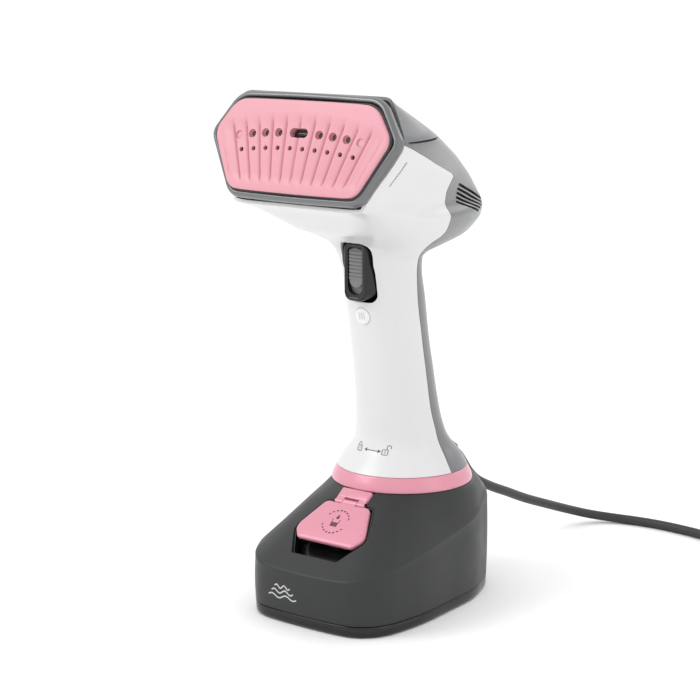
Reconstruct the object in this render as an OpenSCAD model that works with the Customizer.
/* [Overall] */
// Wall thickness of the plastic casings
wall = 2.2; // [1.8:0.1:2.6]
// Points around each casing section
ring_points = 40; // [32:4:48]

/* [Steam head] */
// How far the steam plate leans back from upright, in degrees
head_tilt = 16.3; // [15:0.1:18]
// Depth of the bezel that frames the steam plate
bezel_depth = 6; // [5:0.5:7]
// How far the steam plate stands out of its bezel
plate_proud = 3.5; // [2:0.5:4]
// Radius of a steam hole
steam_hole_r = 1.4; // [1:0.1:1.8]

/* [Water tank] */
// Height of the black foot under the tank
foot_h = 7; // [6:0.5:9]
// Outer radius of the locking collar where it meets the tank
collar_r = 41.7; // [40:0.1:43]
// Height of the locking collar above the table
collar_z = 69.3; // [68:0.1:70]
// Height of the locking collar itself
collar_h = 8.7; // [8:0.1:9]
// Slope of the tank's front, in degrees
slope_angle = 37.1; // [36:0.1:38]

/* [Trigger] */
// Height of the trigger
trigger_h = 33; // [30:1:34]
// How far the lock slides down the trigger
lock_travel = 4; // [2:0.5:4]

/* [Mains lead] */
// Diameter of the mains lead
lead_d = 6; // [5:0.5:7]

/* [Hidden] */
$fn = 48;

// The collar and the bayonet turn about this upright axis.
axis_y = 19;
collar_top = collar_z + collar_h;
joint_gap = 0.3;

// ---- helpers ------------------------------------------------------------

function lerp(a, b, t) = a + (b - a) * t;
function power(v, e) = pow(max(abs(v), 0.000001), e);

// Catmull-Rom point between b and c.
function blend(a, b, c, d, t) = 0.5 * (2 * b + (c - a) * t + (2 * a - 5 * b + 4 * c - d) * t * t
    + (3 * b - a - 3 * c + d) * t * t * t);

function smooth_line(p, steps) = [
    for (i = [0 : len(p) - 2], k = [0 : steps - 1])
        blend(p[max(i - 1, 0)], p[i], p[i + 1], p[min(i + 2, len(p) - 1)], k / steps),
    p[len(p) - 1]
];

// Closed solid through a stack of rings that all have the same number of points.
module loft(rings) {
    n = len(rings[0]);
    last = len(rings) - 1;
    bottom = [for (i = [0 : n - 1]) i];
    top = [for (i = [n - 1 : -1 : 0]) last * n + i];
    sides = [
        for (r = [0 : last - 1], i = [0 : n - 1], half = [0, 1])
            half == 0
                ? [r * n + i, (r + 1) * n + i, (r + 1) * n + (i + 1) % n]
                : [r * n + i, (r + 1) * n + (i + 1) % n, r * n + (i + 1) % n]
    ];
    polyhedron([for (r = rings) each r], concat([bottom, top], sides), convexity = 8);
}

// ---- handset outline ----------------------------------------------------
// Each row: height, half width, y of the widest line, front y, back y, front and back roundness.

HANDSET = [
    [collar_top + joint_gap, 38.4, 19, -19.4, 57.4, 2, 2],
    [82, 36.4, 19, -16.6, 55.6, 2, 2],
    [86, 34.0, 19, -13.2, 52.8, 2, 2],
    [91, 30.4, 18.5, -9.4, 47.8, 2, 2],
    [98, 27, 17, -8, 43.6, 2.1, 2],
    [110, 24.4, 15, -9, 40, 2.2, 2],
    [134, 22, 11.5, -12.2, 35.8, 2.4, 2],
    [158, 21, 7, -16.4, 31.2, 2.5, 2],
    [180, 21, 3.5, -20.6, 27.4, 2.5, 2],
    [196, 21.2, 1, -23.4, 23.6, 2.5, 2],
    [203, 22.2, 0, -25.2, 23.6, 2.6, 2],
    [206, 23.4, 0, -25.0, 31, 2.8, 1.95],
    [208.5, 25, 0, -25.4, 52, 3, 1.9],
    [212, 27.6, 0, -27, 73, 3.2, 1.85],
    [217, 31.4, -4, -36.5, 82, 3.4, 1.85],
    [222, 35, -12, -49.5, 87.6, 3.8, 1.85],
    [228, 39, -24, -58.8, 88.5, 4.6, 1.85],
    [235, 43, -44, -69, 83, 7, 1.85],
    [243, 47, -70, -86, 76, 16, 1.85],
    [250, 51, -72, -86, 67, 16, 1.85],
    [262, 59, -70, -83, 44, 16, 1.95],
    [270, 63.5, -68, -80, 22, 16, 2.1],
    [276, 65.5, -66, -78, 3, 16, 2.3],
    [281, 62.4, -65, -77, -12, 16, 2.6],
    [286, 59.6, -64, -76, -27, 16, 3],
    [293, 55, -62, -73, -46, 16, 3.4],
    [299, 50.5, -63.5, -71, -61, 16, 4]
];

// Row of the table, drawn in by a wall thickness.
function handset_ring(row, t) = [
    for (i = [0 : ring_points - 1])
        let (
            a = 360 * i / ring_points,
            w = row[1] - t,
            front = sin(a) < 0,
            n = front ? row[5] : row[6],
            reach = front ? row[2] - row[3] - t : row[4] - row[2] - t
        )
        [sign(cos(a)) * w * power(cos(a), 2 / n),
         row[2] + sign(sin(a)) * max(reach, 1) * power(sin(a), 2 / n),
         row[0]]
];

module handset_outside() {
    loft([for (row = HANDSET) handset_ring(row, 0)]);
}

// The hollow inside: the same rows moved in by the wall, and open at the bottom.
module handset_hollow() {
    last = len(HANDSET) - 2;
    lift = [for (i = [0 : last]) i >= 11 && i <= 15 ? wall : 0];
    loft(concat(
        [[for (p = handset_ring(HANDSET[0], wall)) [p[0], p[1], p[2] - 1]]],
        [for (i = [1 : last])
            [for (p = handset_ring(HANDSET[i], wall + (i > 18 ? 1 : 0.2)))
                [p[0], p[1], p[2] + lift[i]]]]
    ));
}

// Seam between the white front casing and the grey rear casing, as y and z from the side.
SEAM = [
    [16, 60], [16, 82], [17, 92], [17, 100], [15, 114], [12, 132], [7.5, 156], [3, 180], [2, 196],
    [2.6, 204], [5, 209], [10, 212.5], [16.5, 215.5], [19, 219], [18, 226], [16.5, 236], [16, 245],
    [11.5, 252.5], [-22, 261.3], [-49, 269.3], [-68, 275.5], [-100, 284]
];

module front_region() {
    rotate([90, 0, 90])
        linear_extrude(160, center = true)
            polygon(concat(SEAM, [[-120, 283], [-120, 60]]));
}

// ---- steam head frame: x across, y up the plate, z out of the plate ------

module head_frame() {
    translate([0, -74, 270.5]) rotate([90 - head_tilt, 0, 0]) children();
}

BEZEL = [[66.6, 6], [50, 30], [-50, 30], [-66.6, 6], [-45.5, -29], [45.5, -29]];
PLATE = [[61.6, 6.5], [48.3, 25], [-48.3, 25], [-61.6, 6.5], [-44.3, -25], [44.3, -25]];
HEATER = [[50, 5], [40, 17], [-40, 17], [-50, 5], [-37, -18], [37, -18]];

module soft_hexagon(points, corner, inset = 0) {
    offset(r = corner, $fn = 32) offset(delta = -corner - inset) polygon(points);
}

// Everything in front of the back of the bezel.
module bezel_front() {
    head_frame() translate([-100, -100, -bezel_depth]) cube([200, 200, 100]);
}

module trigger_window() {
    translate([-11.2, -40, 179.8]) cube([22.4, 30, 35.2]);
}

module lead_hole() {
    lead_axis() translate([0, 0, 5]) cylinder(h = 39, r = 4.9);
}

// Two ears inside the front casing that hold the trigger's pin.
module trigger_ears() {
    for (side = [-1, 1])
        translate([side * 12.6 - 1.2, -26, 206.5]) cube([2.4, 12.5, 8]);
}

module lens_hole(r) {
    translate([0, -10, 171]) rotate([90, 0, 0]) cylinder(h = 20, r = r);
}

// Back of each screw head, as y and z.
SCREW_SPOTS = [[35, 113], [25.5, 168], [21, 190]];

// ---- handset ------------------------------------------------------------

module front_shell() {
    color("white")
        difference() {
            intersection() {
                union() {
                    difference() {
                        handset_outside();
                        handset_hollow();
                    }
                    trigger_ears();
                }
                front_region();
            }
            bezel_front();
            trigger_window();
            lens_hole(5);
            translate([-20, pivot_y, pivot_z]) rotate([0, 90, 0]) cylinder(h = 40, r = pin_r);
        }
}

module rear_shell() {
    color("gray")
        difference() {
            handset_outside();
            handset_hollow();
            front_region();
            bezel_front();
            lead_hole();
            for (side = [-1, 1], k = [0 : 4])
                translate([side * (11 + 5 * k), 60 - 3 * k, 226 + 1.2 * k])
                    rotate([-16, 0, side * -32])
                        translate([-0.8, 0, -3])
                            cube([1.6, 50, 6]);
        }
}

module head_bezel() {
    color("dimgray")
        head_frame()
            translate([0, 0, -bezel_depth])
                linear_extrude(bezel_depth)
                    difference() {
                        soft_hexagon(BEZEL, 6);
                        soft_hexagon(PLATE, 5);
                    }
}

PLATE_ROW_RADIUS = 320;
LARGE_HOLES = [14.1, 23.5, 32.9];
SMALL_HOLES = [4.2, 12.7, 21.3, 30.1, 38.9];

function arc_drop(x) = PLATE_ROW_RADIUS - sqrt(PLATE_ROW_RADIUS * PLATE_ROW_RADIUS - x * x);

module steam_plate() {
    color("lightpink")
        head_frame()
            difference() {
                union() {
                    translate([0, 0, -2]) linear_extrude(2 + plate_proud - 1) soft_hexagon(PLATE, 5, 0.3);
                    linear_extrude(plate_proud) soft_hexagon(PLATE, 5, 1.5);
                }
                for (side = [-1, 1], x = LARGE_HOLES)
                    translate([side * x, 7.5 - arc_drop(x), -5]) cylinder(h = 20, r = steam_hole_r);
                for (side = [-1, 1], x = SMALL_HOLES)
                    translate([side * x, -1 - arc_drop(x), -5]) cylinder(h = 20, r = steam_hole_r / 2);
                for (side = [-1, 1])
                    translate([side * 3.2, 7.5, -5]) cylinder(h = 20, r = 2.2);
                translate([-3.2, 5.3, -5]) cube([6.4, 4.4, 20]);
            }
}

module plate_gasket() {
    color("black")
        head_frame()
            translate([0, 0, -4])
                linear_extrude(2)
                    difference() {
                        soft_hexagon(PLATE, 5, 1);
                        soft_hexagon(HEATER, 4);
                    }
}

heater_front = -4;
heater_depth = 16;

module heater_block() {
    color("silver")
        head_frame()
            difference() {
                translate([0, 0, heater_front - heater_depth])
                    linear_extrude(heater_depth) soft_hexagon(HEATER, 4);
                translate([0, 0, heater_front - 4])
                    linear_extrude(5) soft_hexagon(HEATER, 4, 3);
            }
}

element_r = 3;
element_reach = 26;
element_half = 10;

module heating_element() {
    color("dimgray")
        head_frame()
            translate([0, -1, heater_front - heater_depth - element_r]) {
                for (side = [-1, 1])
                    translate([-element_reach, side * element_half, 0])
                        rotate([0, 90, 0]) cylinder(h = 2 * element_reach, r = element_r);
                translate([element_reach, 0, 0])
                    rotate([0, 0, -90])
                        rotate_extrude(angle = 180)
                            translate([element_half, 0]) circle(r = element_r);
                for (side = [-1, 1])
                    translate([-element_reach - 7, side * element_half, 0])
                        rotate([0, 90, 0]) cylinder(h = 7, r = 1.4);
            }
}

module heat_shield() {
    color("gainsboro")
        head_frame()
            translate([0, 0, heater_front - heater_depth - 2 * element_r - 1.5])
                linear_extrude(1)
                    difference() {
                        soft_hexagon(HEATER, 4, 3);
                        translate([-10, -10]) square([20, 20]);
                    }
}

module thermostat() {
    color("ivory")
        head_frame()
            translate([0, -1, heater_front - heater_depth - 10])
                union() {
                    cylinder(h = 10, r = 6.5);
                    translate([-8.5, -2, 2]) cube([17, 4, 1.2]);
                }
}

module thermal_fuse() {
    color("khaki")
        head_frame()
            translate([14, -1, heater_front - heater_depth - 2.6])
                rotate([0, 90, 0]) cylinder(h = 14, r = 2.4);
}

// Solenoid pump, upright in the grip.
pump_y = 11;
pump_z = 108;

module water_pump() {
    color("slategray")
        union() {
            translate([-12, pump_y - 11, pump_z]) cube([24, 22, 34]);
            translate([0, pump_y, pump_z - 9]) cylinder(h = 9, r = 7);
            translate([0, pump_y, pump_z + 34]) cylinder(h = 12, r = 6);
            translate([0, pump_y, pump_z + 46]) cylinder(h = 8, r = 2.4);
            translate([0, pump_y, pump_z - 15]) cylinder(h = 6, r = 2.4);
        }
}

module pump_mount() {
    color("black")
        difference() {
            translate([-14, pump_y - 13, pump_z + 10]) cube([28, 26, 10]);
            translate([-12, pump_y - 11, pump_z + 9]) cube([24, 22, 12]);
        }
}

// Round tube of outer radius r and inner radius bore that follows hand-placed points.
function unit(v) = v / norm(v);

function tube_ring(p, direction, r, sides) =
    let (u = unit(cross(direction, abs(direction[2]) > 0.8 ? [1, 0, 0] : [0, 0, 1])), v = cross(direction, u))
    [for (i = [0 : sides - 1]) p + r * (cos(360 * i / sides) * u + sin(360 * i / sides) * v)];

function tube_rings(p, r, sides) = [
    for (i = [0 : len(p) - 1])
        tube_ring(p[i], unit(p[min(i + 1, len(p) - 1)] - p[max(i - 1, 0)]), r, sides)
];

HOSE_HIGH = [
    [0, pump_y, pump_z + 54.1], [0, pump_y, 168], [4, 12.5, 182], [10, 6, 199], [12, -2, 218],
    [8, -22, 236], [4, -34, 246], [0, -42, 252]
];

module pressure_hose() {
    color("snow")
        loft(tube_rings(smooth_line(HOSE_HIGH, 3), 2.4, 10));
}

module suction_hose() {
    color("snow")
        loft(tube_rings(smooth_line(
            [[0, pump_y, pump_z - 15.1], [0, pump_y + 0.5, 90], [0, axis_y - 1, 86], [0, axis_y, 80.1]], 4),
            2.4, 10));
}

plug_r = 30;
plug_clearance = 0.08;
lug_r = 33.4;
lug_z = 62;
lug_h = 4;
lug_angle = 22;

module lug_wedge(r, h, angle) {
    rotate([0, 0, -angle / 2])
        rotate_extrude(angle = angle) square([r, h]);
}

// Bayonet spigot under the handset with three lugs that hook beneath the tank's collar.
module bayonet_plug() {
    color("white")
        difference() {
            union() {
                translate([0, axis_y, lug_z]) cylinder(h = collar_top + 4 - lug_z, r = plug_r);
                for (k = [0 : 2])
                    translate([0, axis_y, lug_z])
                        rotate([0, 0, 90 + 120 * k]) lug_wedge(lug_r, lug_h, lug_angle);
            }
            translate([0, axis_y, lug_z + 3]) cylinder(h = 30, r = plug_r - 2.5);
            translate([0, axis_y, lug_z - 1]) cylinder(h = 10, r = 6);
        }
}

module suction_tube() {
    color("snow")
        translate([0, axis_y, 12])
            difference() {
                union() {
                    cylinder(h = 68, r = 3);
                    translate([0, 0, lug_z - 12]) cylinder(h = 3, r = 6);
                }
                translate([0, 0, -1]) cylinder(h = 70, r = 1.8);
            }
}

module suction_filter() {
    color("lightsteelblue")
        translate([0, axis_y, 7])
            difference() {
                cylinder(h = 9, r = 5);
                translate([0, 0, 5]) cylinder(h = 5, r = 3);
            }
}

module tube_seal() {
    color("orangered")
        translate([0, axis_y, lug_z + 3])
            difference() {
                cylinder(h = 3, r = 9);
                translate([0, 0, -1]) cylinder(h = 5, r = 3);
            }
}

module circuit_board() {
    color("seagreen")
        translate([0, 12, 186])
            rotate([9, 0, 0])
                union() {
                    translate([-14, 0, -12]) cube([8, 1.6, 28]);
                    translate([-14, -6, -8]) cube([7, 6, 8]);
                    translate([-13, -4, 4]) cube([6, 4, 6]);
                }
}

// ---- trigger ------------------------------------------------------------

trigger_z = 181;
trigger_face = -25.6;
trigger_back = -17.5;
trigger_top = trigger_z + trigger_h;
pivot_y = -17;
pivot_z = 211;
pin_r = 1.2;
pin_bore_r = 1.25;
slot_half = 5.2;

module trigger() {
    color("black")
        difference() {
            union() {
                translate([0, 0, trigger_z])
                    linear_extrude(trigger_h - 0.4)
                        polygon([
                            [-7.6, trigger_face], [7.6, trigger_face],
                            [10.6, trigger_back], [-10.6, trigger_back]
                        ]);
                translate([-6, trigger_back - 1, pivot_z - 3.5]) cube([12, 5, 6]);
                translate([-2, trigger_back - 1, trigger_z + 4]) cube([4, 4, 4]);
            }
            translate([-slot_half, trigger_face - 1, trigger_z + 3])
                cube([2 * slot_half, 4, 27.5]);
            translate([-20, pivot_y, pivot_z]) rotate([0, 90, 0]) cylinder(h = 40, r = pin_bore_r);
        }
}

module trigger_pin() {
    color("silver")
        translate([-13, pivot_y, pivot_z]) rotate([0, 90, 0]) cylinder(h = 26, r = pin_r);
}

// Return spring between the trigger and the switch housing.
module trigger_spring() {
    color("silver")
        for (k = [0 : 3])
            translate([7.5, -13.8 + 1.6 * k, trigger_z + 14])
                rotate([90, 0, 0])
                    rotate_extrude() translate([2.2, 0]) circle(r = 0.45, $fn = 16);
}

module lock_slider() {
    color("darkgray")
        difference() {
            translate([-slot_half + 0.3, trigger_face - 0.2, trigger_z + 3.3 + lock_travel])
                cube([2 * slot_half - 0.6, 2.9, 27.5 - lock_travel - 0.6]);
            for (k = [0 : 7])
                translate([-4, trigger_face - 0.7, trigger_z + 11 + 2.3 * k])
                    cube([8, 1.2, 1]);
        }
}

module trigger_switch() {
    color("black")
        union() {
            translate([-10, -7, trigger_z + 2]) cube([20, 7, 11]);
            translate([-3, -9.2, trigger_z + 6]) cube([6, 2.2, 3]);
        }
}

module indicator_lens() {
    color("whitesmoke")
        translate([0, -17.2, 171])
            rotate([90, 0, 0])
                union() {
                    translate([0, 0, 0.4]) cylinder(h = 2, r = 5);
                    translate([0, 0, -4.6]) cylinder(h = 5, r = 3);
                }
}

module case_screws() {
    color("silver")
        for (spot = SCREW_SPOTS)
            translate([0, spot[0], spot[1]])
                rotate([90, 0, 0])
                    union() {
                        cylinder(h = 10, r = 1.4);
                        cylinder(h = 2, r = 2.8);
                    }
}

// ---- mains lead ---------------------------------------------------------
// The lead leaves the back of the handset, drops to the table and runs to a neat coil.

lead_r = lead_d / 2;
coil_x = 206;
coil_y = 172;
coil_mean_r = 36;
coil_h = 21;

LEAD = [
    [0, 71, 76], [0, 76, 72], [0, 81, 66.5], [0, 86, 60.5], [0, 92, 55], [0, 99, 50.3], [0, 107.7, 46],
    [0, 118, 41.5], [0, 130, 36.7], [0, 152.5, 27.4], [1, 179, 17.7], [4, 196, 11.5], [12, 211, 6.2],
    [25, 221, 3.6], [42, 226, 3], [64, 227, 3], [90, 224, 3], [118, 217, 3], [146, 211, 3],
    [164, 208.5, 3], [176, 208, 3]
];

// From the top of the coil into the plug.
LEAD_END = [
    [199, 133, 24.2], [212, 133.5, 26], [222, 137.5, 28.4], [229.5, 143, 30.3], [232.4, 147.4, 31.2], [233, 151.8, 31.4]
];

relief_angle = 33;
relief_length = 43.5;

// From the tip of the relief back into the handset.
module lead_axis() {
    translate(LEAD[0]) rotate([-relief_angle, 0, 0]) rotate([90, 0, 0]) children();
}

module lead_relief() {
    color("black")
        lead_axis()
            union() {
                cylinder(h = relief_length, r1 = 3.8, r2 = 4.8);
                translate([0, 0, relief_length]) cylinder(h = 3, r = 6);
            }
}

module lead_clamp() {
    color("dimgray")
        lead_axis() translate([-8, -4, relief_length + 3]) cube([16, 8, 6]);
}

module mains_lead() {
    color("black")
        for (route = [LEAD, LEAD_END])
            loft(tube_rings(smooth_line(route, 2), lead_r, 10));
}

module lead_coil() {
    color("black")
        translate([coil_x, coil_y, 0])
            rotate_extrude()
                translate([coil_mean_r - 9, 0]) square([18, coil_h]);
}

module lead_tie() {
    color("black")
        translate([coil_x + coil_mean_r - 10.6, coil_y - 5, 0])
            difference() {
                cube([20.6, 10, coil_h + 0.8]);
                translate([0.9, -1, -0.1]) cube([18.8, 12, coil_h + 0.1]);
            }
}

// The plug lies on the coil with its pins towards +Y.
module plug_frame() {
    translate([233, 152, 31.4]) rotate([-90, 0, 0]) children();
}

module plug_body() {
    color("black")
        plug_frame()
            union() {
                cylinder(h = 18, r1 = 4, r2 = 9);
                translate([0, 0, 18]) cylinder(h = 20, r = 9);
            }
}

module plug_pins() {
    color("silver")
        plug_frame()
            for (side = [-1, 1])
                translate([side * 5.7, 0, 38]) cylinder(h = 19, r = 2.4);
}

// ---- water tank ---------------------------------------------------------
// Right half of the outline on the table with the height of the crease above each point.

TANK = [
    [0, -75, 31], [20, -74.4, 31.3], [34, -72, 32.3], [42.5, -65.5, 34.3], [47, -57.8, 36.6],
    [49.6, -47.9, 39.2], [51.4, -26.6, 43.3], [50, -0.6, 46], [47.7, 25.8, 50.4], [42.4, 43, 55.4],
    [35, 58, 59], [20, 70, 61.5], [0, 74.5, 62]
];
TANK_HALF = smooth_line(TANK, 2);
TANK_LINE = concat(
    TANK_HALF,
    [for (i = [len(TANK_HALF) - 2 : -1 : 1]) [-TANK_HALF[i][0], TANK_HALF[i][1], TANK_HALF[i][2]]]
);

// Point of the outline moved inwards towards the collar's axis.
function inward(p, t) =
    let (d = unit([p[0], p[1] - axis_y * 0.3])) [p[0] - t * d[0], p[1] - t * d[1]];

function on_collar(p, r) =
    let (d = unit([p[0], p[1] - axis_y])) [r * d[0], axis_y + r * d[1]];

function tank_wall(t, z) = [for (p = TANK_LINE) [each inward(p, t), z]];
function tank_crease(t) = [for (p = TANK_LINE) [each inward(p, t), p[2] - t * 0.6]];

// Ring part of the way from the crease to the collar.
function tank_top(t, r, z, f) = [
    for (p = TANK_LINE)
        let (a = inward(p, t), b = on_collar(p, r), bulge = sin(180 * f) * (p[2] - 31) * 0.16)
        [lerp(a[0], b[0], f), lerp(a[1], b[1], f), lerp(p[2] - t * 0.6, z, f) + bulge]
];

module tank_skin(t, z0, z1, r) {
    loft(concat(
        [tank_wall(t, z0), tank_crease(t)],
        [for (f = [0.35, 0.7, 1]) tank_top(t, r, z1, f)]
    ));
}

// Frame of the sloping front: y up the slope, z out of it, zero at the foot of the collar.
module slope_frame() {
    translate([0, -22.7, 68.2]) rotate([slope_angle, 0, 0]) children();
}

WELL = [
    [-16.3, -50.5], [16.3, -50.5], [25.5, -34], [25.5, -29], [17.2, -8.6], [11.2, -8.6], [11.2, -6.2],
    [-11.2, -6.2], [-11.2, -8.6], [-17.2, -8.6], [-25.5, -29], [-25.5, -34]
];
LID = [
    [-19.5, -39.2], [19.5, -39.2], [23.8, -33.6], [23.8, -29.4], [15.6, -10.4], [-15.6, -10.4],
    [-23.8, -29.4], [-23.8, -33.6]
];

well_depth = 10;
filler_y = -23;
filler_r = 11;
hinge_y = -8.8;
hinge_z = -0.1;
hinge_r = 2;
strap_half = 10.8;

module tank_shell() {
    color("dimgray")
        difference() {
            tank_skin(0, foot_h, collar_z, collar_r);
            tank_skin(2.4, foot_h - 1, collar_z - 2.4, collar_r - 1);
            translate([0, axis_y, 40]) cylinder(h = 40, r = 36);
            slope_frame()
                translate([0, 0, -well_depth]) linear_extrude(30) polygon(WELL);
            slope_frame()
                translate([-strap_half, -6.3, -2.2]) cube([2 * strap_half, 8, 10]);
        }
}

module tank_foot() {
    color("black")
        difference() {
            loft([tank_wall(2, 0.2), tank_wall(0.9, 1.4), tank_wall(0.9, foot_h)]);
            loft([tank_wall(4, 3), tank_wall(4, foot_h + 1)]);
            loft([tank_wall(9, -1), tank_wall(9, 1.4)]);
        }
}

module base_pad() {
    color("black")
        loft([tank_wall(9.1, 0), tank_wall(9.1, 1.4)]);
}

flange_z = lug_z + lug_h + 0.3;

// Pink collar: a flange that the lugs hook under, with three gates for them to leave by.
module collar_ring() {
    color("lightpink")
        translate([0, axis_y, 0])
            difference() {
                rotate_extrude($fn = 96)
                    polygon([
                        [plug_r + plug_clearance, flange_z], [35.9, flange_z], [35.9, collar_z],
                        [collar_r, collar_z], [40.9, 72.5], [38.8, collar_top - 0.6],
                        [38.2, collar_top], [plug_r + plug_clearance, collar_top]
                    ]);
                for (k = [0 : 2])
                    rotate([0, 0, 90 + 25 + 120 * k])
                        translate([0, 0, flange_z - 1])
                            lug_wedge(lug_r + 0.4, 40, lug_angle + 2);
            }
}

deck_z = 56;

// Floor of the collar pocket, which closes the tank around the suction tube.
module tank_deck() {
    color("dimgray")
        translate([0, axis_y, deck_z])
            difference() {
                cylinder(h = flange_z - deck_z, r = 35.9);
                translate([0, 0, 2.5]) cylinder(h = 30, r = 34);
                translate([0, 0, -1]) cylinder(h = 10, r = 7);
            }
}

module deck_seal() {
    color("orangered")
        translate([0, axis_y, deck_z])
            difference() {
                cylinder(h = 2.5, r = 7);
                translate([0, 0, -1]) cylinder(h = 10, r = 3.08);
            }
}

module filler_well() {
    color("black")
        slope_frame()
            difference() {
                union() {
                    difference() {
                        translate([0, 0, -well_depth]) linear_extrude(well_depth - 0.2) polygon(WELL);
                        translate([0, 0, -well_depth + 1.6])
                            linear_extrude(20) offset(delta = -1.2) polygon(WELL);
                    }
                    translate([0, filler_y, -well_depth]) cylinder(h = well_depth - 3, r = filler_r + 1.6);
                }
                translate([0, filler_y, -well_depth - 5]) cylinder(h = 20, r = filler_r);
                translate([-12, -11.4, -2.4]) cube([24, 10, 5]);
            }
}

module lid_bracket() {
    color("lightpink")
        slope_frame()
            difference() {
                union() {
                    translate([-strap_half, -6.1, -1.4]) cube([2 * strap_half, 6.4, 3.2]);
                    for (side = [-1, 1])
                        translate([side * 7.9 - 2.7, hinge_y, hinge_z])
                            rotate([0, 90, 0]) cylinder(h = 5.4, r = hinge_r);
                    for (side = [-1, 1])
                        translate([side * 7.9 - 2.7, hinge_y, hinge_z - hinge_r])
                            cube([5.4, 3, 2 * hinge_r - 0.4]);
                }
                translate([-20, hinge_y, hinge_z]) rotate([0, 90, 0]) cylinder(h = 40, r = pin_r);
            }
}

module lid_pin() {
    color("silver")
        slope_frame()
            translate([-10.5, hinge_y, hinge_z]) rotate([0, 90, 0]) cylinder(h = 21, r = pin_r);
}

module lid() {
    color("lightpink")
        slope_frame()
            difference() {
                union() {
                    translate([0, 0, -0.8]) linear_extrude(2.8) polygon(LID);
                    translate([-4.9, hinge_y, hinge_z]) rotate([0, 90, 0]) cylinder(h = 9.8, r = hinge_r);
                    translate([-4.9, -11, -0.8]) cube([9.8, 2.2, 2.8]);
                }
                translate([-20, hinge_y, hinge_z]) rotate([0, 90, 0]) cylinder(h = 40, r = pin_bore_r);
                for (side = [-1, 1])
                    translate([side * 7.9 - 3, hinge_y - 2.4, -5]) cube([6, 5, 10]);
            }
}

module lid_plug() {
    color("black")
        slope_frame()
            translate([0, filler_y, -7.5])
                cylinder(h = 6.7, r1 = 8.4, r2 = 10.5);
}

front_shell();
rear_shell();
head_bezel();
steam_plate();
plate_gasket();
heater_block();
heating_element();
heat_shield();
thermostat();
thermal_fuse();
water_pump();
pump_mount();
suction_hose();
pressure_hose();
suction_tube();
suction_filter();
bayonet_plug();
tube_seal();
circuit_board();
trigger_switch();
indicator_lens();
case_screws();
lead_relief();
lead_clamp();
mains_lead();
lead_coil();
lead_tie();
plug_body();
plug_pins();
trigger();
trigger_pin();
trigger_spring();
lock_slider();
tank_shell();
tank_foot();
base_pad();
collar_ring();
tank_deck();
deck_seal();
filler_well();
lid_bracket();
lid_pin();
lid();
lid_plug();
